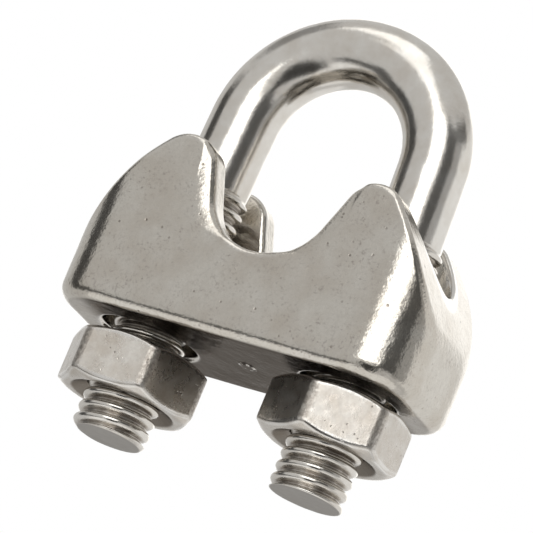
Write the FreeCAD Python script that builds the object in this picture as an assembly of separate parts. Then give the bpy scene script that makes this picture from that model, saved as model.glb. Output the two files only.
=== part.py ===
"""Wire rope clip: a threaded U-bolt, a cast saddle and two hexagon nuts.

Frame: millimetres, origin on the axis of the rope seat in the saddle, +Y along the rope,
+Z from the saddle towards the bow of the U-bolt, +X towards the right-hand leg.
"""
import FreeCAD, Part
import math
import os

os.makedirs("parts", exist_ok=True)

# ---------------------------------------------------------------- driving dimensions
# thread of the legs and nuts (M6 x 1, right-hand)
PITCH = 1.0
THREAD_R = 2.94            # crest of the rolled thread on the legs
THREAD_ROOT_R = 2.37       # root of the thread on the legs
THREAD_TOP_Z = -4.68       # top of the thread on the straight part of each leg
THREAD_ROOT_FLAT = 0.24    # width of the groove at its root
RIDGE_SINK = 0.1           # how far the ridge of a thread reaches into its core
NUT_THREAD_MINOR_R = 2.55  # crest of the thread inside the nuts
NUT_THREAD_MAJOR_R = 3.04  # root of the thread inside the nuts
FLANK_PLAY = 0.10          # play along the axis between the two threads, both flanks together
FLANK_SLOPE = math.tan(math.radians(30.0))

# U-bolt
ROD_R = 2.66               # plain rod of the bow
BOW_R = 7.98               # centre line of the bow
BOW_Z = 6.0                # centre of the bow
LEG_X = 8.42               # centre line of each straight, threaded leg
LEG_BEND_Z = -3.9          # where the straight leg bends in towards the bow
LEG_BEND_R = 40.0
LEG_END_Z = -19.68         # end of the left leg; the threads are counted from here
RIGHT_LEG_EXTRA = 0.35     # the right leg is cut a little longer
END_CHAMFER = 0.35

# saddle
SEAT_R = 4.8               # rope seat, centred on the origin
SEAT_FLARE = 20.6          # lean of the wall above the seat, degrees from upright
HORN_TOP_Z = 2.65
HORN_R = 2.5               # rounding of each horn
SHOULDER_SLOPE = 47.0      # slope where each shoulder leaves its horn, degrees from level
SHOULDER_R = 26.0          # the shoulder curves down to the end of the saddle
SADDLE_HALF_LENGTH = 14.8
SADDLE_HALF_WIDTH = 6.9
SADDLE_CORNER_R = 4.3      # upright corners, seen from above
UNDERSIDE_Z = -11.55
FLOOR = 3.4                # height of the floor between the two walls
CHANNEL_HALF_WIDTH = 4.2   # hollow between the two walls
CHANNEL_HALF_LENGTH = 12.6
CHANNEL_END_R = 4.19       # both ends of the hollow are nearly full rounds
LEG_HOLE_R = 3.75
OUTLINE_ROUND = 0.8        # rounding of the outline of both faces
BASE_ROUND = 1.2           # rounding of the edge of the underside
SPOT_R = 0.9               # plain raised spot in the middle of the underside
SPOT_HEIGHT = 0.12

# nuts
NUT_FLATS = 9.8
NUT_CORNER_R = 5.52        # corners are worn round
NUT_HEIGHT = 4.2
NUT_FACE_R = 4.7           # flat left inside the chamfer
NUT_CHAMFER_SLOPE = math.tan(math.radians(30.0))
NUT_RECESS_R = 4.1         # mouth of the shallow cone round the bore
NUT_RECESS_SLOPE = math.tan(math.radians(30.0))
LEFT_NUT_Z = -14.78        # mid-height of each nut
RIGHT_NUT_Z = -14.14
LEFT_NUT_TURN = -114.5     # direction of a corner, degrees from +X
RIGHT_NUT_TURN = -90.4

OVERLAP = 1.0              # how far a cutting shape runs past what it cuts
SAME_PLACE = 1e-3          # points nearer than this count as one

V = FreeCAD.Vector


def bow_start():
    """Point where the bow meets, on a common tangent, the leaning part of the right-hand leg."""
    reach = math.hypot(LEG_X, BOW_Z - LEG_BEND_Z)
    lean = math.asin(LEG_X / reach) - math.asin(BOW_R / reach)
    return V(BOW_R * math.cos(lean), 0, BOW_Z + BOW_R * math.sin(lean))


def rounded_corner(before, corner, after, radius):
    """Arc of this radius tangent to the two lines that meet at the corner."""
    to_before = (before - corner).normalize()
    to_after = (after - corner).normalize()
    half = to_before.getAngle(to_after) / 2.0
    reach = radius / math.tan(half)
    start = corner + to_before * reach
    end = corner + to_after * reach
    bisector = (to_before + to_after).normalize()
    middle = corner + bisector * (radius / math.sin(half) - radius)
    return start, Part.Arc(start, middle, end).toShape(), end


def u_bolt_path():
    """Centre line of the rod from the end of the right leg to the end of the left leg."""
    start = bow_start()
    leg_end = V(LEG_X, 0, LEG_END_Z)
    corner = V(LEG_X, 0, LEG_BEND_Z)
    bend_low, bend, bend_high = rounded_corner(leg_end, corner, start, LEG_BEND_R)
    right = [Part.LineSegment(leg_end, bend_low).toShape(), bend]
    right.append(Part.LineSegment(bend_high, start).toShape())
    top = V(0, 0, BOW_Z + BOW_R)
    bow = Part.Arc(start, top, V(-start.x, 0, start.z)).toShape()
    left = [edge.mirror(V(0, 0, 0), V(1, 0, 0)) for edge in reversed(right)]
    return Part.Wire(Part.sortEdges(right + [bow] + left)[0])


def ridge_width(radius):
    """Width of the thread's ridge on a leg at this radius."""
    return PITCH - THREAD_ROOT_FLAT - 2.0 * (radius - THREAD_ROOT_R) * FLANK_SLOPE


def threaded_bar(root_r, crest_r, extra_width, z0, z1):
    """Bar along Z with the thread's ridge on it, cut off square at z0 and z1.

    The ridge is widened by extra_width, and its place along Z is counted from the legs' ends,
    so that any two bars made here are in mesh.
    """
    inner_r = root_r - RIDGE_SINK
    inner_half = (ridge_width(inner_r) + extra_width) / 2.0
    crest_half = (ridge_width(crest_r) + extra_width) / 2.0
    start = LEG_END_Z + PITCH * (math.floor((z0 - LEG_END_Z) / PITCH) - 1)
    height = PITCH * (math.ceil((z1 - z0) / PITCH) + 3)
    corners = [
        V(inner_r, 0, start - inner_half),
        V(crest_r, 0, start - crest_half),
        V(crest_r, 0, start + crest_half),
        V(inner_r, 0, start + inner_half),
    ]
    helix = Part.makeHelix(PITCH, height, inner_r)
    helix.translate(V(0, 0, start))
    profile = Part.makePolygon(corners + corners[:1])
    ridge = Part.Wire(helix.Edges).makePipeShell([profile], True, True)
    core = Part.makeCylinder(root_r, height + 4 * PITCH, V(0, 0, start - 2 * PITCH))
    bar = core.fuse(ridge)
    return bar.common(Part.makeCylinder(2 * crest_r, z1 - z0, V(0, 0, z0)))


def threaded_leg(end_z):
    """Straight threaded part of one leg, about its own axis, from its chamfered end up."""
    leg = threaded_bar(THREAD_ROOT_R, THREAD_R, 0.0, end_z, THREAD_TOP_Z)
    tip_r = THREAD_R - END_CHAMFER
    reach = THREAD_TOP_Z - end_z
    return leg.common(Part.makeCone(tip_r, tip_r + reach, reach, V(0, 0, end_z)))


def make_u_bolt():
    """Bent rod with a thread on each straight leg."""
    path = u_bolt_path()
    ring = Part.Wire(Part.makeCircle(ROD_R, V(LEG_X, 0, LEG_END_Z), V(0, 0, 1)))
    rod = path.makePipeShell([ring], True, True)
    for side, end_z in ((-1, LEG_END_Z), (1, LEG_END_Z - RIGHT_LEG_EXTRA)):
        place = V(side * LEG_X, 0, 0)
        blank = Part.makeCylinder(2 * ROD_R, THREAD_TOP_Z - end_z, V(0, 0, end_z))
        blank.translate(place)
        leg = threaded_leg(end_z)
        leg.translate(place)
        rod = rod.cut(blank).fuse(leg)
    return rod.removeSplitter()


def saddle_outline():
    """Front outline: flat base, sloping shoulders, two horns and the rope seat between them."""
    flare = math.radians(SEAT_FLARE)
    slope = math.radians(SHOULDER_SLOPE)
    seat_end = V(SEAT_R * math.cos(flare), 0, -SEAT_R * math.sin(flare))
    inward = V(math.cos(flare), 0, -math.sin(flare))
    horn_z = HORN_TOP_Z - HORN_R
    # centre of the horn: HORN_R away from the flared wall, which passes through seat_end
    horn_x = seat_end.x + (HORN_R + (horn_z - seat_end.z) * math.sin(flare)) / math.cos(flare)
    horn = V(horn_x, 0, horn_z)
    horn_in = horn - inward * HORN_R
    horn_top = horn + V(0, 0, HORN_R)
    outward = V(math.sin(slope), 0, math.cos(slope))
    horn_out = horn + outward * HORN_R
    # centre of the shoulder's arc, and the arc's end and middle
    centre = horn_out - outward * SHOULDER_R
    end_slope = math.asin((SADDLE_HALF_LENGTH - centre.x) / SHOULDER_R)
    half_way = (slope + end_slope) / 2.0
    shoulder = centre + V(math.sin(end_slope), 0, math.cos(end_slope)) * SHOULDER_R
    shoulder_middle = centre + V(math.sin(half_way), 0, math.cos(half_way)) * SHOULDER_R
    base = V(SADDLE_HALF_LENGTH, 0, UNDERSIDE_Z)
    edges = [
        Part.LineSegment(V(0, 0, UNDERSIDE_Z), base).toShape(),
        Part.LineSegment(base, shoulder).toShape(),
        Part.Arc(shoulder, shoulder_middle, horn_out).toShape(),
        Part.Arc(horn_out, horn_top, horn_in).toShape(),
        Part.LineSegment(horn_in, seat_end).toShape(),
    ]
    mirrored = [edge.mirror(V(0, 0, 0), V(1, 0, 0)) for edge in edges]
    seat = Part.Arc(seat_end, V(0, 0, -SEAT_R), V(-seat_end.x, 0, seat_end.z)).toShape()
    return Part.Wire(Part.sortEdges(edges + mirrored + [seat])[0])


def rounded_slab(half_length, half_width, radius, z0, z1):
    """Upright slab with rounded corners, seen from above."""
    slab = Part.makeBox(2 * half_length, 2 * half_width, z1 - z0, V(-half_length, -half_width, z0))
    upright = [e for e in slab.Edges if abs(e.Vertexes[0].Z - e.Vertexes[1].Z) > 0.5 * (z1 - z0)]
    return slab.makeFillet(radius, upright)


def is_upright(edge):
    """Whether a straight edge runs along Z."""
    first, last = edge.Vertexes[0].Point, edge.Vertexes[-1].Point
    return abs(first.z - last.z) > SAME_PLACE and \
        math.hypot(first.x - last.x, first.y - last.y) < SAME_PLACE


def is_across_top(edge):
    """Whether a straight edge runs along Y over a horn or the seat, where two faces are flush."""
    first, last = edge.Vertexes[0].Point, edge.Vertexes[-1].Point
    return abs(first.x - last.x) < SAME_PLACE and abs(first.x) < SADDLE_HALF_LENGTH - SAME_PLACE


def round_edges(block):
    """Round the outline of the horns, seat and shoulders, and the edge of the underside."""
    low = UNDERSIDE_Z + SAME_PLACE
    outline = [e for e in block.Edges
               if not is_upright(e) and not is_across_top(e) and max(v.Z for v in e.Vertexes) > low]
    rounded = block.makeFillet(OUTLINE_ROUND, outline)
    base = [e for e in rounded.Edges if max(v.Z for v in e.Vertexes) < low]
    return rounded.makeFillet(BASE_ROUND, base)


def underside_spot():
    """Low plain spot in the middle of the underside."""
    return Part.makeCylinder(SPOT_R, SPOT_HEIGHT + FLOOR / 2, V(0, 0, UNDERSIDE_Z - SPOT_HEIGHT))


def make_saddle():
    """Cast saddle: two horned walls joined by a floor with a hole for each leg."""
    face = Part.Face(saddle_outline())
    face.translate(V(0, -SADDLE_HALF_WIDTH, 0))
    block = face.extrude(V(0, 2 * SADDLE_HALF_WIDTH, 0))
    plan = rounded_slab(SADDLE_HALF_LENGTH, SADDLE_HALF_WIDTH, SADDLE_CORNER_R,
                        UNDERSIDE_Z - OVERLAP, HORN_TOP_Z + OVERLAP)
    block = round_edges(block.common(plan))
    channel = rounded_slab(CHANNEL_HALF_LENGTH, CHANNEL_HALF_WIDTH, CHANNEL_END_R,
                           UNDERSIDE_Z + FLOOR, HORN_TOP_Z + OVERLAP)
    block = block.cut(channel)
    for side in (-1, 1):
        foot = V(side * LEG_X, 0, UNDERSIDE_Z - OVERLAP)
        hole = Part.makeCylinder(LEG_HOLE_R, FLOOR + 2 * OVERLAP, foot)
        block = block.cut(hole)
    return block.fuse(underside_spot())


def make_nut(x, z, turn):
    """Hexagon nut with worn corners, chamfers, a cone round each end of the bore and a thread."""
    half = NUT_HEIGHT / 2.0
    corner = NUT_FLATS / 2.0 / math.cos(math.radians(30.0))
    points = [V(corner * math.cos(math.radians(60 * k)), corner * math.sin(math.radians(60 * k)), -half)
              for k in range(6)]
    hexagon = Part.Face(Part.makePolygon(points + points[:1]))
    body = hexagon.extrude(V(0, 0, NUT_HEIGHT))
    drop = (NUT_CORNER_R - NUT_FACE_R) * NUT_CHAMFER_SLOPE
    recess_r = NUT_THREAD_MINOR_R - RIDGE_SINK
    recess = (NUT_RECESS_R - recess_r) * NUT_RECESS_SLOPE
    outline = [
        V(0, 0, -half + recess),
        V(recess_r, 0, -half + recess),
        V(NUT_RECESS_R, 0, -half),
        V(NUT_FACE_R, 0, -half),
        V(NUT_CORNER_R, 0, -half + drop),
        V(NUT_CORNER_R, 0, half - drop),
        V(NUT_FACE_R, 0, half),
        V(NUT_RECESS_R, 0, half),
        V(recess_r, 0, half - recess),
        V(0, 0, half - recess),
    ]
    turned = Part.Face(Part.makePolygon(outline + outline[:1])).revolve(V(0, 0, 0), V(0, 0, 1), 360)
    body = body.common(turned)
    body.rotate(V(0, 0, 0), V(0, 0, 1), turn)
    body.translate(V(0, 0, z))
    low = z - half - PITCH
    high = z + half + PITCH
    nut = body.cut(threaded_bar(NUT_THREAD_MINOR_R, NUT_THREAD_MAJOR_R, FLANK_PLAY, low, high))
    nut.translate(V(x, 0, 0))
    return nut


def export(shape, name):
    """Write one node and say how large it is."""
    solids = len(shape.Solids)
    print(name, "valid", shape.isValid(), "solids", solids, "volume", round(shape.Volume, 1))
    shape.exportStep("parts/" + name + ".step")


export(make_u_bolt(), "u_bolt")
export(make_saddle(), "saddle")
export(make_nut(-LEG_X, LEFT_NUT_Z, LEFT_NUT_TURN), "nut_left")
export(make_nut(LEG_X, RIGHT_NUT_Z, RIGHT_NUT_TURN), "nut_right")
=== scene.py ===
import math
import bpy
import numpy as np
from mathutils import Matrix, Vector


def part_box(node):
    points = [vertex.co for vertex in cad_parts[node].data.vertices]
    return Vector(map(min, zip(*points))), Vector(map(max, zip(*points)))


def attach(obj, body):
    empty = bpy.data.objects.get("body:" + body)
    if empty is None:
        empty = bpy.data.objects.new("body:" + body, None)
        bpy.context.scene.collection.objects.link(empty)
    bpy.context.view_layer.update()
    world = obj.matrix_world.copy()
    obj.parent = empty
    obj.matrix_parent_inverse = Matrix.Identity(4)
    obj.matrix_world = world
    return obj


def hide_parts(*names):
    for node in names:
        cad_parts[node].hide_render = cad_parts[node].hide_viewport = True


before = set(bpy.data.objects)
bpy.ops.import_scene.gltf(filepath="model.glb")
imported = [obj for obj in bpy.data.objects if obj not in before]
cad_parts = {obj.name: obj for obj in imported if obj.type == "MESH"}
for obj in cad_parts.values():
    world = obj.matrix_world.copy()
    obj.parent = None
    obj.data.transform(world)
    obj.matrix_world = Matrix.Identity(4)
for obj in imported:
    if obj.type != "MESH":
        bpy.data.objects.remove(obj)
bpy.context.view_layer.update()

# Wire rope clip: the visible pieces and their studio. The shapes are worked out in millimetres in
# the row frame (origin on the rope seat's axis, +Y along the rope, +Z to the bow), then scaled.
import openvdb
from mathutils import Matrix, Vector

MM = 0.001


def box_mm(node):
    """Lowest and highest corner of a CAD node, in millimetres."""
    low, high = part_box(node)
    return np.array(low) / MM, np.array(high) / MM


SADDLE_LOW, SADDLE_HIGH = box_mm("saddle")
BOLT_LOW, BOLT_HIGH = box_mm("u_bolt")

# ---------------------------------------------------------------- driving dimensions, millimetres
# U-bolt
THREAD_R = 2.92            # crest of the rolled thread
THREAD_ROOT_R = 2.40
PITCH = 1.0
ROOT_SHARE = 0.10          # part of the pitch taken by the bottom of the groove
CREST_POWER = 2.2          # how broad and round the crests are
THREAD_RUNOUT = 0.5        # length over which the thread fades into the plain rod
THREAD_TOP_Z = 0.25        # the thread runs this far up the leaning part of the legs
RIGHT_THREAD_SHIFT = 0.18  # the right leg's thread starts a little lower
ROD_R = 2.66
BOW_R = 7.98
BOW_Z = BOLT_HIGH[2] - BOW_R - ROD_R
LEG_X = BOLT_HIGH[0] - 2.94
LEG_BEND_Z = -3.9
LEG_BEND_R = 40.0
LEFT_END_Z = -19.68
RIGHT_END_Z = BOLT_LOW[2]
LEFT_END_CHAMFER = 0.34
RIGHT_END_CHAMFER = 0.08
END_DISH = 0.03            # the sawn ends are very slightly hollow
END_EDGE_DROP = 0.02
BOLT_SIDES = 144
THREADED_STEP = 0.045      # spacing of the U-bolt's rings
PLAIN_STEP = 0.16

# saddle
SEAT_R = 4.8
SEAT_FLARE = math.radians(20.6)
HORN_R = 2.5
HORN_TOP_Z = SADDLE_HIGH[2]
SHOULDER_SLOPE = math.radians(47.0)
SHOULDER_R = 26.0
HALF_LENGTH = SADDLE_HIGH[0] + 0.12
HALF_WIDTH = SADDLE_HIGH[1]
CORNER_R = 4.3
UNDERSIDE_Z = -11.55
FLOOR = 3.4
CHANNEL_HALF_WIDTH = 4.2
CHANNEL_HALF_LENGTH = 12.6
LEG_HOLE_R = 3.75
SPOT_R = 0.9
SPOT_HEIGHT = 0.10
SPOT_FLAT_SHARE = 0.6
OUTLINE_ROUND = 0.45       # outline of both faces
NOTCH_BEVEL = 0.85         # width of the shallow bevel down the inner side of the horns
NOTCH_BEVEL_SLOPE = math.radians(22.0)
NOTCH_BEVEL_ROUND = 0.25
NOTCH_BEVEL_AWAY = 0.5      # how far outside the bevel lies where there is none
NOTCH_BEVEL_X = (7.6, 1.4)  # no bevel beyond this x, all of it this much further in
NOTCH_BEVEL_Z = (-5.4, 1.5) # none below this z, all of it this much higher
BASE_ROUND = 1.05
BASE_END_ROUND = 1.25      # the base is a little rounder towards both ends
BASE_END_X = (8.5, 5.0)    # where the rounding of the base starts to change, and over how far
CHANNEL_ROUND = 0.45
CHANNEL_FLOOR_ROUND = 0.6
HOLE_ROUND = 0.35
SADDLE_VOXEL = 0.17
UNDERSIDE_SHADE_END_X = (10.6, 2.2)  # where the painted shade on the underside starts to thin out, and over how far

# nuts
NUT_HALF_FLATS = 4.9
NUT_CORNER_R = 5.52
NUT_FACE_R = 4.7
NUT_CHAMFER = math.radians(30.0)
NUT_EDGE_ROUND = 0.16
NUT_RECESS_R = 4.1
NUT_RECESS = math.radians(30.0)
LEFT_NUT_TURN = math.radians(-114.5)
RIGHT_NUT_TURN = math.radians(-90.4)
NUT_SIDE_ROUND = 0.10      # where two flats meet
NUT_CORNER_ROUND = 0.12    # where a flat meets the worn corner
NUT_RECESS_ROUND = 0.08
THREAD_PLAY = 0.06
NUT_VOXEL = 0.11
NUT_CORNER_MARK = (5.38, 0.10)
# the soil and painted shade in the cone round the bore end this far inside its rim, fading over
# this width
NUT_RECESS_SOIL_AND_SHADE = (0.12, 0.16)

# unevenness of each surface: height, width of the bumps and seed
SADDLE_WAVES = ((0.022, 2.6, 11), (0.007, 0.9, 12))
NUT_WAVES = ((0.006, 1.7, 21), (0.003, 0.5, 22))
BOLT_WAVES = ((0.012, 3.1, 31), (0.005, 0.8, 32))


# ---------------------------------------------------------------- fields
def value_noise(points, cell, seed):
    """Smooth random field between -1 and 1 whose bumps are about one cell wide."""
    side = 32
    lattice = np.random.default_rng(seed).uniform(-1.0, 1.0, (side, side, side))
    scaled = points / cell
    base = np.floor(scaled).astype(int)
    part = scaled - base
    part = part * part * (3.0 - 2.0 * part)
    total = np.zeros(len(points))
    for corner in np.ndindex(2, 2, 2):
        step = np.array(corner)
        weight = np.prod(np.where(step == 1, part, 1.0 - part), axis=1)
        i, j, k = ((base + step) % side).T
        total += weight * lattice[i, j, k]
    return total


def unevenness(points, waves):
    """Sum of several random fields."""
    return sum(height * value_noise(points, cell, seed) for height, cell, seed in waves)


def ease(share):
    """Smooth step from 0 to 1."""
    share = np.clip(share, 0.0, 1.0)
    return share * share * (3.0 - 2.0 * share)


def round_max(a, b, radius):
    """Intersection of two distance fields, with the edge between them rounded."""
    across = np.hypot(np.maximum(a + radius, 0.0), np.maximum(b + radius, 0.0))
    return np.minimum(np.maximum(a, b), -radius) + across


def rounded_rectangle(x, y, half_x, half_y, radius):
    """Distance to a rectangle with rounded corners, centred on the origin."""
    u = np.abs(x) - (half_x - radius)
    v = np.abs(y) - (half_y - radius)
    outside = np.hypot(np.maximum(u, 0.0), np.maximum(v, 0.0))
    return outside + np.minimum(np.maximum(u, v), 0.0) - radius


def saddle_top(x, z):
    """Distance to the upper outline: rope seat, flared walls, horns and shoulders."""
    x = np.abs(x)
    wall = np.array([math.cos(SEAT_FLARE), -math.sin(SEAT_FLARE)])
    along = np.array([math.sin(SEAT_FLARE), math.cos(SEAT_FLARE)])
    seat_end = SEAT_R * wall
    horn_z = HORN_TOP_Z - HORN_R
    horn_x = seat_end[0] + (HORN_R + (horn_z - seat_end[1]) * along[0]) / wall[0]
    outward = np.array([math.sin(SHOULDER_SLOPE), math.cos(SHOULDER_SLOPE)])
    shoulder = np.array([horn_x, horn_z]) + (HORN_R - SHOULDER_R) * outward
    wall_length = (np.array([horn_x, horn_z]) - HORN_R * wall - seat_end) @ along
    reach = x * along[0] + z * along[1]
    horn_angle = np.arctan2(x - horn_x, z - horn_z)
    shoulder_angle = np.arctan2(x - shoulder[0], z - shoulder[1])
    pieces = [
        (SEAT_R - np.hypot(x, z), reach <= 0.0),
        (SEAT_R - (x * wall[0] + z * wall[1]), (reach > 0.0) & (reach <= wall_length)),
        (np.hypot(x - horn_x, z - horn_z) - HORN_R,
         (horn_angle > SEAT_FLARE - math.pi / 2) & (horn_angle <= SHOULDER_SLOPE)),
        (np.hypot(x - shoulder[0], z - shoulder[1]) - SHOULDER_R,
         (shoulder_angle > SHOULDER_SLOPE) & (shoulder_angle < 2.0)),
    ]
    best = np.full(x.shape, -99.0)
    for distance, spans in pieces:
        nearer = spans & (np.abs(distance) < np.abs(best))
        best = np.where(nearer, distance, best)
    return best


def saddle_field(points):
    """Distance to the cast saddle."""
    x, y, z = points.T
    plan = rounded_rectangle(x, y, HALF_LENGTH, HALF_WIDTH, CORNER_R)
    side = ease((NOTCH_BEVEL_X[0] - np.abs(x)) / NOTCH_BEVEL_X[1])
    top = saddle_top(x, z)
    share = side * ease((z - NOTCH_BEVEL_Z[0]) / NOTCH_BEVEL_Z[1])
    bevel = plan * math.cos(NOTCH_BEVEL_SLOPE) - NOTCH_BEVEL_AWAY * (1.0 - share)
    bevel += (top + NOTCH_BEVEL * share) * math.sin(NOTCH_BEVEL_SLOPE)
    body = round_max(round_max(plan, bevel, NOTCH_BEVEL_ROUND), top, OUTLINE_ROUND)
    end = ease((np.abs(x) - BASE_END_X[0]) / BASE_END_X[1])
    body = round_max(body, UNDERSIDE_Z - z, BASE_ROUND + (BASE_END_ROUND - BASE_ROUND) * end)
    slot = rounded_rectangle(x, y, CHANNEL_HALF_LENGTH, CHANNEL_HALF_WIDTH, CHANNEL_HALF_WIDTH)
    channel = round_max(slot, UNDERSIDE_Z + FLOOR - z, CHANNEL_FLOOR_ROUND)
    body = round_max(body, -channel, CHANNEL_ROUND)
    hole = np.hypot(np.abs(x) - LEG_X, y) - LEG_HOLE_R
    body = round_max(body, -hole, HOLE_ROUND)
    aside = np.maximum(np.hypot(x, y) - SPOT_FLAT_SHARE * SPOT_R, 0.0)
    spot = np.hypot(aside, z - UNDERSIDE_Z) - SPOT_HEIGHT
    return np.minimum(body, spot) + unevenness(points, SADDLE_WAVES)


def saddle_marks(points, normals):
    """Painted shade on the underside, less of it towards both ends."""
    below = ease((-normals[:, 2] - 0.93) / 0.06)
    end = ease((np.abs(points[:, 0]) - UNDERSIDE_SHADE_END_X[0]) / UNDERSIDE_SHADE_END_X[1])
    return {"below": below * (1.0 - 0.75 * end)}


def thread_radius(azimuth, z, side):
    """Radius of a leg's thread at this direction about its axis and this height."""
    start = LEFT_END_Z - RIGHT_THREAD_SHIFT if side > 0 else LEFT_END_Z
    phase = (z - start) / PITCH - azimuth / (2.0 * math.pi)
    rise = np.abs(2.0 * (phase - np.floor(phase)) - 1.0)
    share = np.clip((rise - ROOT_SHARE) / (1.0 - ROOT_SHARE), 0.0, 1.0)
    return THREAD_R - (THREAD_R - THREAD_ROOT_R) * (1.0 - share) ** CREST_POWER


def nut_field(points, centre, half_height, turn):
    """Distance to a hexagon nut with chamfered ends, worn corners and a threaded bore."""
    x, y, z = (points - centre).T
    radius = np.hypot(x, y)
    height = np.abs(z) - half_height
    azimuth = np.arctan2(y, x)
    sides = np.full(len(points), -9.0)
    for step in range(3):
        angle = turn + math.radians(30.0 + 60.0 * step)
        flat = np.abs(x * math.cos(angle) + y * math.sin(angle)) - NUT_HALF_FLATS
        sides = round_max(sides, flat, NUT_SIDE_ROUND)
    sides = round_max(sides, radius - NUT_CORNER_R, NUT_CORNER_ROUND)
    chamfer = height * math.cos(NUT_CHAMFER) + (radius - NUT_FACE_R) * math.sin(NUT_CHAMFER)
    body = round_max(sides, chamfer, NUT_EDGE_ROUND)
    body = round_max(body, height, NUT_EDGE_ROUND)
    bore = radius - thread_radius(azimuth, z + centre[2], centre[0]) - THREAD_PLAY
    body = np.maximum(body, -bore)
    mouth = (radius - NUT_RECESS_R) * math.sin(NUT_RECESS) - height * math.cos(NUT_RECESS)
    return round_max(body, -mouth, NUT_RECESS_ROUND) + unevenness(points, NUT_WAVES)


def nut_marks(points, centre):
    """Bruised corners, and soil and painted shade in the cone round the bore."""
    radius = np.hypot(points[:, 0] - centre[0], points[:, 1] - centre[1])
    corner = ease((radius - NUT_CORNER_MARK[0]) / NUT_CORNER_MARK[1])
    outside = ease((radius - NUT_RECESS_R + NUT_RECESS_SOIL_AND_SHADE[0]) / NUT_RECESS_SOIL_AND_SHADE[1])
    return {"corner": corner, "recess": 1.0 - outside}


# ---------------------------------------------------------------- meshes
def gradient(field, points):
    """Slope of a field at each point."""
    step = 0.02
    slope = np.empty_like(points)
    for axis in range(3):
        offset = np.zeros(3)
        offset[axis] = step
        slope[:, axis] = (field(points + offset) - field(points - offset)) / (2.0 * step)
    return slope


def new_object(name, points, faces, material, normals=None, **attributes):
    """Smooth mesh object from points in millimetres."""
    mesh = bpy.data.meshes.new(name)
    mesh.from_pydata(np.asarray(points) * MM, [], faces)
    mesh.shade_smooth()
    for key, values in attributes.items():
        layer = mesh.attributes.new(key, "FLOAT", "POINT")
        layer.data.foreach_set("value", np.asarray(values, dtype=np.float32))
    if normals is not None:
        mesh.normals_split_custom_set_from_vertices(normals)
    mesh.materials.append(material)
    obj = bpy.data.objects.new(name, mesh)
    bpy.context.scene.collection.objects.link(obj)
    return obj


def surface(name, field, low, high, voxel, material, marks):
    """Mesh of a field's zero surface, each vertex drawn onto it; marks gives its attributes."""
    low = np.asarray(low) - 3.0 * voxel
    counts = np.ceil((np.asarray(high) + 3.0 * voxel - low) / voxel).astype(int)
    axes = [low[i] + voxel * np.arange(counts[i]) for i in range(3)]
    grid = np.stack(np.meshgrid(*axes, indexing="ij"), axis=-1).reshape(-1, 3)
    values = np.concatenate([field(part) for part in np.array_split(grid, 16)])
    volume = openvdb.FloatGrid(3.0)
    volume.copyFromArray(values.reshape(counts).astype(np.float32))
    points, quads = volume.convertToQuads(0.0)
    points = low + points.astype(float) * voxel
    for _ in range(4):
        slope = gradient(field, points)
        size = np.maximum((slope ** 2).sum(axis=1), 0.25)
        shift = -slope * (field(points) / size)[:, None]
        points = points + np.clip(shift, -voxel / 2, voxel / 2)
    normals = gradient(field, points)
    normals /= np.linalg.norm(normals, axis=1)[:, None]
    corners = points[quads]
    facing = np.cross(corners[:, 2] - corners[:, 0], corners[:, 3] - corners[:, 1])
    if (facing * normals[quads[:, 0]]).sum() < 0:
        quads = quads[:, ::-1]
    wear = edge_wear(field, points, normals)
    return new_object(name, points, quads.tolist(), material, normals,
                      wear=wear, **marks(points, normals))


def edge_wear(field, points, normals):
    """1 on convex edges, where handling polishes the metal, 0 on flats and in hollows."""
    inside = field(points - 0.5 * normals)
    return np.clip((inside + 0.5) / 0.12, 0.0, 1.0)


def leg_path():
    """Right half of the U-bolt's centre line: points, lean and length from the leg's end."""
    reach = math.hypot(LEG_X, BOW_Z - LEG_BEND_Z)
    lean = math.asin(LEG_X / reach) - math.asin(BOW_R / reach)
    bend_half = LEG_BEND_R * math.tan(lean / 2.0)
    bow_start = np.array([BOW_R * math.cos(lean), BOW_Z + BOW_R * math.sin(lean)])
    corner = np.array([LEG_X, LEG_BEND_Z])
    straight = corner[1] - bend_half - RIGHT_END_Z
    leaning = np.linalg.norm(bow_start - corner) - bend_half
    bend = LEG_BEND_R * lean
    bow = BOW_R * (math.pi - 2.0 * lean)
    thread = THREAD_TOP_Z + 1.5 - RIGHT_END_Z
    half = straight + bend + leaning + bow / 2.0
    fine = np.arange(0.0, thread, THREADED_STEP)
    coarse = np.linspace(thread, half, int((half - thread) / PLAIN_STEP))
    length = np.concatenate([fine, coarse])
    angle = np.zeros(len(length))
    angle += np.clip((length - straight) / LEG_BEND_R, 0.0, lean)
    angle += np.maximum(length - straight - bend - leaning, 0.0) / BOW_R
    x = np.full(len(length), LEG_X)
    z = RIGHT_END_Z + length
    steps = np.diff(length)
    middle = (angle[1:] + angle[:-1]) / 2.0
    x[1:] = LEG_X - np.cumsum(np.sin(middle) * steps)
    z[1:] = RIGHT_END_Z + np.cumsum(np.cos(middle) * steps)
    return x, z, angle, length


def bolt_side(side, end_z, chamfer, sides):
    """Rings of one half of the U-bolt, from the leg's end to the top of the bow."""
    x, z, angle, length = leg_path()
    skip = end_z - RIGHT_END_Z
    keep = length >= skip
    x, z, angle = x[keep], z[keep], angle[keep]
    up = length[keep] - skip
    up[0] = 0.0
    z[0] = end_z
    turn = np.linspace(0.0, 2.0 * math.pi, sides, endpoint=False)
    azimuth = turn if side > 0 else math.pi - turn
    counted = (end_z + up)[:, None]
    thread = thread_radius(azimuth[None, :], counted, side)
    runout = ease((counted - THREAD_TOP_Z) / THREAD_RUNOUT)
    radius = thread * (1.0 - runout) + ROD_R * runout
    tip = THREAD_R - chamfer
    radius = np.minimum(radius, tip + up[:, None])
    groove = (THREAD_R - radius) / (THREAD_R - THREAD_ROOT_R) * (1.0 - runout)
    out_x = np.cos(angle)[:, None] * np.cos(turn)
    out_z = np.sin(angle)[:, None] * np.cos(turn)
    points = np.stack([
        side * (x[:, None] + radius * out_x),
        radius * np.sin(turn)[None, :] * np.ones_like(radius),
        z[:, None] + radius * out_z,
    ], axis=-1)
    return points, groove


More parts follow.
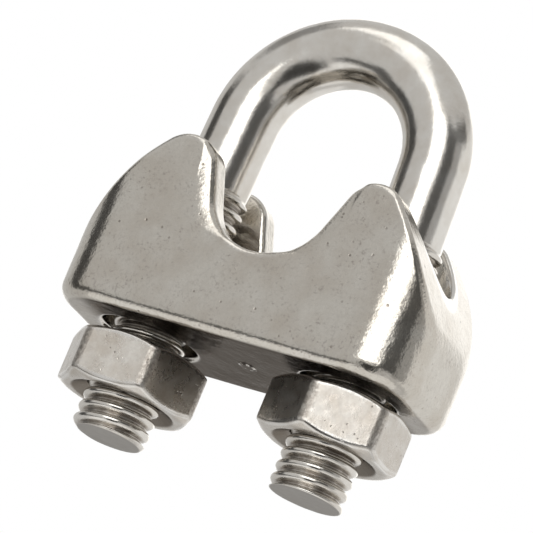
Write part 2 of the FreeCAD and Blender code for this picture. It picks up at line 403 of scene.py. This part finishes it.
def make_bolt(material):
    """Bent rod with a rolled thread on both legs, as one closed mesh."""
    sides = BOLT_SIDES
    right, right_groove = bolt_side(1, RIGHT_END_Z, RIGHT_END_CHAMFER, sides)
    left, left_groove = bolt_side(-1, LEFT_END_Z, LEFT_END_CHAMFER, sides)
    rings = np.concatenate([right, left[-2::-1]])
    groove = np.concatenate([right_groove, left_groove[-2::-1]])
    shares = (0.96, 0.75, 0.5, 0.25)
    first = [end_ring(rings[0], share) for share in reversed(shares)]
    last = [end_ring(rings[-1], share) for share in shares]
    rings = np.concatenate([first, rings, last])
    groove = np.concatenate([np.zeros((4, sides)), groove, np.zeros((4, sides))])
    sawn = np.zeros_like(groove)
    sawn[:4] = 1.0
    sawn[-4:] = 1.0
    points = rings.reshape(-1, 3)
    ripple = unevenness(points, BOLT_WAVES)
    count = len(rings)
    centre_line = rings.mean(axis=1)[:, None, :]
    outward = (rings - centre_line).reshape(-1, 3)
    outward /= np.maximum(np.linalg.norm(outward, axis=1), 1e-6)[:, None]
    points = points + outward * ripple[:, None]
    faces = []
    for i in range(count - 1):
        for j in range(sides):
            k = (j + 1) % sides
            faces.append((i * sides + j, i * sides + k, (i + 1) * sides + k, (i + 1) * sides + j))
    faces.append(tuple(reversed(range(sides))))
    faces.append(tuple(range((count - 1) * sides, count * sides)))
    return new_object("u_bolt_steel", points, faces, material,
                      groove=groove.reshape(-1), sawn=sawn.reshape(-1))


def end_ring(ring, share):
    """Ring inside a leg's end face, drawn in towards its centre and very slightly dished."""
    centre = ring.mean(axis=0)
    inner = centre + (ring - centre) * share
    inner[:, 2] += END_DISH * (1.0 - share)
    if share > 0.9:
        inner[:, 2] -= END_EDGE_DROP
    return inner


# ---------------------------------------------------------------- materials
def node(tree, kind, **settings):
    """New shader node; settings whose name is an input are set on that input."""
    made = tree.nodes.new(kind)
    for key, value in settings.items():
        if hasattr(made, key) and key not in made.inputs:
            setattr(made, key, value)
        else:
            made.inputs[key].default_value = value
    return made


def noise(tree, coordinates, scale, detail, rough=0.55, distortion=0.0):
    """Noise texture at so many cells per millimetre."""
    made = node(tree, "ShaderNodeTexNoise")
    made.inputs["Scale"].default_value = scale
    made.inputs["Detail"].default_value = detail
    made.inputs["Roughness"].default_value = rough
    made.inputs["Distortion"].default_value = distortion
    tree.links.new(coordinates, made.inputs["Vector"])
    return made.outputs["Fac"]


def span(tree, value, from_low, from_high, to_low, to_high):
    """Map Range with both ends clamped."""
    made = node(tree, "ShaderNodeMapRange")
    made.inputs["From Min"].default_value = from_low
    made.inputs["From Max"].default_value = from_high
    made.inputs["To Min"].default_value = to_low
    made.inputs["To Max"].default_value = to_high
    tree.links.new(value, made.inputs["Value"])
    return made.outputs["Result"]


def calculate(tree, operation, first, second):
    """Math node on two values; either may be a number."""
    made = node(tree, "ShaderNodeMath", operation=operation)
    for socket, value in zip(made.inputs, (first, second)):
        if isinstance(value, (int, float)):
            socket.default_value = value
        else:
            tree.links.new(value, socket)
    return made.outputs["Value"]


def mix_colour(tree, share, first, second):
    """Colour between two, by share."""
    made = node(tree, "ShaderNodeMix", data_type="RGBA")
    tree.links.new(share, made.inputs["Factor"])
    sockets = [s for s in made.inputs if s.type == "RGBA"]
    for socket, value in zip(sockets, (first, second)):
        if isinstance(value, tuple):
            socket.default_value = value + (1.0,)
        else:
            tree.links.new(value, socket)
    return next(s for s in made.outputs if s.type == "RGBA")


def attribute(tree, name):
    """Value stored on the mesh's vertices."""
    made = node(tree, "ShaderNodeAttribute")
    made.attribute_name = name
    return made.outputs["Fac"]


def bump(tree, height, distance, below=None):
    """Bump in metres, on top of another bump if one is given."""
    made = node(tree, "ShaderNodeBump")
    made.inputs["Strength"].default_value = 1.0
    made.inputs["Distance"].default_value = distance
    tree.links.new(height, made.inputs["Height"])
    if below is not None:
        tree.links.new(below, made.inputs["Normal"])
    return made.outputs["Normal"]


def start_material(name):
    """Material with a metallic Principled shader, and object coordinates in millimetres."""
    material = bpy.data.materials.new(name)
    material.use_nodes = True
    tree = material.node_tree
    shader = tree.nodes["Principled BSDF"]
    shader.inputs["Metallic"].default_value = 1.0
    coordinates = node(tree, "ShaderNodeTexCoord")
    scale = node(tree, "ShaderNodeVectorMath", operation="SCALE")
    scale.inputs["Scale"].default_value = 1.0 / MM
    tree.links.new(coordinates.outputs["Object"], scale.inputs[0])
    return material, tree, shader, scale.outputs[0]


def pit_mask(tree, coordinates, scale, size, seed_shift):
    """1 inside small scattered pits."""
    moved = node(tree, "ShaderNodeVectorMath", operation="ADD")
    moved.inputs[1].default_value = (seed_shift, 2.0 * seed_shift, 3.0 * seed_shift)
    tree.links.new(coordinates, moved.inputs[0])
    cells = node(tree, "ShaderNodeTexVoronoi")
    cells.inputs["Scale"].default_value = scale
    tree.links.new(moved.outputs[0], cells.inputs["Vector"])
    chance = noise(tree, moved.outputs[0], 0.55, 2.0)
    allowed = span(tree, chance, 0.5, 0.62, 0.0, 1.0)
    hole = span(tree, cells.outputs["Distance"], size, size * 1.8, 1.0, 0.0)
    return calculate(tree, "MULTIPLY", hole, allowed)


def cast_steel():
    """Tumbled casting: soft orange peel, pits, faint brown staining, polished edges."""
    material, tree, shader, place = start_material("tumbled_cast_steel")
    stain = noise(tree, place, 0.30, 4.0, 0.6)
    grain = noise(tree, place, 5.0, 3.0, 0.6)
    pits = pit_mask(tree, place, 1.25, 0.09, 3.1)
    colour = mix_colour(tree, span(tree, stain, 0.38, 0.66, 0.0, 1.0),
                        (0.64, 0.615, 0.565), (0.56, 0.52, 0.46))
    colour = mix_colour(tree, span(tree, grain, 0.3, 0.75, 0.0, 0.35), colour, (0.50, 0.47, 0.43))
    speck = span(tree, noise(tree, place, 4.0, 5.0, 0.78), 0.53, 0.68, 0.0, 0.75)
    patchy = span(tree, noise(tree, place, 0.45, 3.0, 0.6), 0.42, 0.62, 0.25, 1.0)
    colour = mix_colour(tree, calculate(tree, "MULTIPLY", speck, patchy), colour,
                        (0.30, 0.265, 0.24))
    colour = mix_colour(tree, calculate(tree, "MULTIPLY", pits, 0.75), colour, (0.16, 0.13, 0.11))
    colour = mix_colour(tree, calculate(tree, "MULTIPLY", attribute(tree, "wear"), 0.7),
                        colour, (0.78, 0.765, 0.74))
    # painted shade: the underside is darkened almost to black and its specular tint dimmed, less
    # towards both ends
    below = attribute(tree, "below")
    colour = mix_colour(tree, calculate(tree, "MULTIPLY", below, 0.92), colour,
                        (0.085, 0.073, 0.065))
    tree.links.new(mix_colour(tree, below, (1.0, 1.0, 1.0), (0.56, 0.54, 0.52)),
                   shader.inputs["Specular Tint"])
    tree.links.new(colour, shader.inputs["Base Color"])
    matt = span(tree, noise(tree, place, 0.8, 5.0, 0.65), 0.3, 0.7, 0.11, 0.20)
    matt = calculate(tree, "ADD", matt, calculate(tree, "MULTIPLY", grain, 0.06))
    matt = calculate(tree, "SUBTRACT", matt,
                     calculate(tree, "MULTIPLY", attribute(tree, "wear"), 0.08))
    tree.links.new(matt, shader.inputs["Roughness"])
    peel = bump(tree, noise(tree, place, 1.1, 3.0, 0.6), 0.034 * MM)
    peel = bump(tree, noise(tree, place, 2.6, 2.0, 0.6), 0.020 * MM, peel)
    peel = bump(tree, noise(tree, place, 6.5, 2.0, 0.6), 0.008 * MM, peel)
    peel = bump(tree, calculate(tree, "MULTIPLY", pits, -1.0), 0.012 * MM, peel)
    tree.links.new(peel, shader.inputs["Normal"])
    return material


def rod_steel():
    """Bright drawn rod with a rolled thread: fine speckle, faint draw lines, soil and painted
    shade in the grooves.
    """
    material, tree, shader, place = start_material("bright_rod_steel")
    groove = attribute(tree, "groove")
    cloud = noise(tree, place, 0.5, 4.0, 0.6)
    colour = mix_colour(tree, span(tree, cloud, 0.35, 0.68, 0.0, 1.0),
                        (0.74, 0.72, 0.685), (0.66, 0.625, 0.575))
    # darkens the thread grooves brown, patchily: partly soil, partly painted shade
    groove_soil_and_shade = noise(tree, place, 1.6, 4.0, 0.6)
    groove_soil_and_shade = calculate(tree, "MULTIPLY", span(tree, groove_soil_and_shade, 0.3, 0.6, 0.45, 1.0), groove)
    colour = mix_colour(tree, span(tree, groove_soil_and_shade, 0.25, 0.95, 0.0, 0.70), colour,
                        (0.26, 0.225, 0.195))
    sawn = attribute(tree, "sawn")
    colour = mix_colour(tree, sawn, colour, (0.38, 0.36, 0.335))
    tree.links.new(colour, shader.inputs["Base Color"])
    matt = span(tree, noise(tree, place, 1.4, 5.0, 0.65), 0.3, 0.7, 0.13, 0.22)
    matt = calculate(tree, "ADD", matt, calculate(tree, "MULTIPLY", groove, 0.18))
    matt = calculate(tree, "ADD", matt, calculate(tree, "MULTIPLY", sawn, 0.25))
    tree.links.new(matt, shader.inputs["Roughness"])
    speckle = bump(tree, noise(tree, place, 6.0, 3.0, 0.6), 0.0055 * MM)
    wave = bump(tree, noise(tree, place, 1.2, 2.0, 0.5), 0.012 * MM, speckle)
    tree.links.new(wave, shader.inputs["Normal"])
    return material


def nut_steel():
    """Satin hexagon bar: mottled flats with small dents, bright worn edges."""
    material, tree, shader, place = start_material("satin_nut_steel")
    cloud = noise(tree, place, 0.7, 4.0, 0.6)
    grain = noise(tree, place, 6.0, 3.0, 0.6)
    colour = mix_colour(tree, span(tree, cloud, 0.35, 0.68, 0.0, 1.0),
                        (0.68, 0.655, 0.615), (0.56, 0.515, 0.46))
    colour = mix_colour(tree, span(tree, grain, 0.35, 0.8, 0.0, 0.35), colour, (0.42, 0.385, 0.35))
    pits = pit_mask(tree, place, 2.2, 0.10, 7.7)
    colour = mix_colour(tree, calculate(tree, "MULTIPLY", pits, 0.6), colour, (0.20, 0.17, 0.15))
    colour = mix_colour(tree, calculate(tree, "MULTIPLY", attribute(tree, "wear"), 0.75),
                        colour, (0.80, 0.79, 0.77))
    bruise = span(tree, noise(tree, place, 3.0, 4.0, 0.7), 0.42, 0.60, 0.05, 0.70)
    corner = attribute(tree, "corner")
    colour = mix_colour(tree, calculate(tree, "MULTIPLY", bruise, corner), colour,
                        (0.24, 0.21, 0.185))
    # soil and painted shade: the cone round the bore is darkened and its specular tint dimmed
    recess = attribute(tree, "recess")
    colour = mix_colour(tree, calculate(tree, "MULTIPLY", recess, 0.8), colour,
                        (0.16, 0.14, 0.12))
    tree.links.new(mix_colour(tree, recess, (1.0, 1.0, 1.0), (0.5, 0.48, 0.46)),
                   shader.inputs["Specular Tint"])
    tree.links.new(colour, shader.inputs["Base Color"])
    matt = span(tree, noise(tree, place, 1.1, 5.0, 0.65), 0.3, 0.7, 0.24, 0.34)
    matt = calculate(tree, "SUBTRACT", matt,
                     calculate(tree, "MULTIPLY", attribute(tree, "wear"), 0.10))
    matt = calculate(tree, "ADD", matt, calculate(tree, "MULTIPLY", corner, 0.12))
    tree.links.new(matt, shader.inputs["Roughness"])
    rough = bump(tree, noise(tree, place, 3.2, 3.0, 0.6), 0.006 * MM)
    rough = bump(tree, calculate(tree, "MULTIPLY", bruise, corner), 0.016 * MM, rough)
    rough = bump(tree, calculate(tree, "MULTIPLY", pits, -1.0), 0.02 * MM, rough)
    tree.links.new(rough, shader.inputs["Normal"])
    return material


# ---------------------------------------------------------------- studio
FLOOR_Z = -0.62
CAMERA_PLACE = Vector((0.22568, -0.44521, -0.13052))
CAMERA_RIGHT = Vector((0.8652, 0.3359, 0.3724))
CAMERA_UP = Vector((-0.2389, -0.3768, 0.8950))
CAMERA_BACK = Vector((0.4409, -0.8633, -0.2457))
FOCAL_IN_WIDTHS = 7000.0 / 533.0
SENSOR_WIDTH = 36.0


def make_camera():
    """Long lens, seen a little from below and from the right, tilted about its own axis."""
    data = bpy.data.cameras.new("camera")
    data.sensor_width = SENSOR_WIDTH
    data.lens = SENSOR_WIDTH * FOCAL_IN_WIDTHS
    data.clip_start = 0.01
    camera = bpy.data.objects.new("camera", data)
    turn = Matrix((CAMERA_RIGHT, CAMERA_UP, CAMERA_BACK)).transposed().to_4x4()
    camera.matrix_world = Matrix.Translation(CAMERA_PLACE) @ turn
    bpy.context.scene.collection.objects.link(camera)
    bpy.context.scene.camera = camera


# what the steel reflects, painted in this order over an even tent: azimuth and elevation of the
# middle, half width and half height, softness of the edge, all in degrees, and brightness
TENT = 0.64
PATCHES = (
    (58.0, 0.0, 46.0, 38.0, 8.0, 0.92),
    (104.0, 18.0, 26.0, 20.0, 6.0, 1.45),
    (180.0, 42.0, 24.0, 9.0, 6.0, 0.28),
    (-5.0, 5.0, 16.0, 30.0, 8.0, 0.42),
    (10.0, 43.0, 26.0, 7.0, 6.0, 0.16),
    (-168.0, -4.0, 16.0, 28.0, 6.0, 0.08),
    (-152.0, -32.0, 20.0, 9.0, 6.0, 0.12),
    (-124.0, -42.0, 20.0, 6.0, 5.0, 0.12),
    (-120.0, 68.0, 34.0, 18.0, 8.0, 1.60),
    (-98.0, 46.0, 18.0, 14.0, 8.0, 1.50),
    (-77.0, 20.0, 20.0, 20.0, 4.0, 2.60),
    (-32.0, 16.0, 17.0, 28.0, 5.0, 0.11),
    (-45.0, -4.0, 12.0, 12.0, 5.0, 0.12),
    (0.0, -75.0, 180.0, 22.0, 5.0, 1.00),
    (-68.0, -38.0, 20.0, 24.0, 6.0, 0.06),
)


def make_world():
    """Pale tent with bright panels and dark gaps for the steel to reflect, on a white backdrop."""
    world = bpy.data.worlds.new("studio")
    world.use_nodes = True
    tree = world.node_tree
    parts = node(tree, "ShaderNodeSeparateXYZ")
    tree.links.new(node(tree, "ShaderNodeTexCoord").outputs["Generated"], parts.inputs[0])
    azimuth = calculate(tree, "ARCTAN2", parts.outputs["Y"], parts.outputs["X"])
    elevation = calculate(tree, "ARCSINE", parts.outputs["Z"], 0.0)
    total = TENT
    for middle, height, half_width, half_height, soft, brightness in PATCHES:
        turned = calculate(tree, "SUBTRACT", azimuth, math.radians(middle))
        wrapped = node(tree, "ShaderNodeMath", operation="WRAP")
        tree.links.new(turned, wrapped.inputs[0])
        wrapped.inputs[1].default_value = math.pi
        wrapped.inputs[2].default_value = -math.pi
        aside = calculate(tree, "ABSOLUTE", wrapped.outputs["Value"], 0.0)
        above = calculate(tree, "ABSOLUTE",
                          calculate(tree, "SUBTRACT", elevation, math.radians(height)), 0.0)
        mask = calculate(tree, "MULTIPLY", edge(tree, aside, half_width, soft),
                         edge(tree, above, half_height, soft))
        blend = node(tree, "ShaderNodeMix", data_type="FLOAT")
        tree.links.new(mask, blend.inputs[0])
        if isinstance(total, float):
            blend.inputs[2].default_value = total
        else:
            tree.links.new(total, blend.inputs[2])
        blend.inputs[3].default_value = brightness
        total = blend.outputs[0]
    studio = tree.nodes["Background"]
    tree.links.new(total, studio.inputs["Strength"])
    studio.inputs["Color"].default_value = (1.0, 0.99, 0.97, 1.0)
    backdrop = node(tree, "ShaderNodeBackground")
    backdrop.inputs["Color"].default_value = (1.0, 1.0, 1.0, 1.0)
    path = node(tree, "ShaderNodeLightPath")
    mix = node(tree, "ShaderNodeMixShader")
    tree.links.new(path.outputs["Is Camera Ray"], mix.inputs["Fac"])
    tree.links.new(studio.outputs[0], mix.inputs[1])
    tree.links.new(backdrop.outputs[0], mix.inputs[2])
    tree.links.new(mix.outputs[0], tree.nodes["World Output"].inputs["Surface"])
    bpy.context.scene.world = world


def edge(tree, angle, half, soft):
    """1 within half degrees of a patch's middle, falling to 0 over its soft edge."""
    made = node(tree, "ShaderNodeMapRange", interpolation_type="SMOOTHSTEP")
    made.inputs["From Min"].default_value = math.radians(half - soft / 2.0)
    made.inputs["From Max"].default_value = math.radians(half + soft / 2.0)
    made.inputs["To Min"].default_value = 1.0
    made.inputs["To Max"].default_value = 0.0
    tree.links.new(angle, made.inputs["Value"])
    return made.outputs["Result"]


def make_floor():
    """Pale floor, far below so that the underside stays in view."""
    mesh = bpy.data.meshes.new("floor")
    half = 6.0
    corners = [(-half, -half, FLOOR_Z), (half, -half, FLOOR_Z),
               (half, half, FLOOR_Z), (-half, half, FLOOR_Z)]
    mesh.from_pydata(corners, [], [(0, 1, 2, 3)])
    floor = bpy.data.objects.new("floor", mesh)
    material = bpy.data.materials.new("pale_floor")
    material.use_nodes = True
    shader = material.node_tree.nodes["Principled BSDF"]
    shader.inputs["Base Color"].default_value = (0.9, 0.9, 0.9, 1.0)
    shader.inputs["Emission Color"].default_value = (1.0, 1.0, 1.0, 1.0)
    shader.inputs["Emission Strength"].default_value = 0.5
    mesh.materials.append(material)
    floor.visible_glossy = False
    bpy.context.scene.collection.objects.link(floor)


# ---------------------------------------------------------------- the object
def build():
    """Every visible piece, on its body."""
    saddle = surface("saddle_casting", saddle_field, SADDLE_LOW, SADDLE_HIGH, SADDLE_VOXEL,
                     cast_steel(), saddle_marks)
    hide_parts("saddle")
    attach(saddle, "saddle")
    bolt = make_bolt(rod_steel())
    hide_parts("u_bolt")
    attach(bolt, "u_bolt")
    steel = nut_steel()
    for name, side, turn in (("nut_left", -1, LEFT_NUT_TURN), ("nut_right", 1, RIGHT_NUT_TURN)):
        low, high = box_mm(name)
        centre = np.array([side * LEG_X, 0.0, (low[2] + high[2]) / 2.0])
        half = (high[2] - low[2]) / 2.0
        reach = np.array([5.7, 5.7, half])

        def field(points):
            return nut_field(points, centre, half, turn)

        def marks(points, normals):
            return nut_marks(points, centre)

        nut = surface(name + "_hexagon", field, centre - reach, centre + reach, NUT_VOXEL,
                      steel, marks)
        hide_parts(name)
        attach(nut, name)


bpy.context.scene.view_settings.view_transform = "Standard"
make_camera()
make_world()
make_floor()
build()
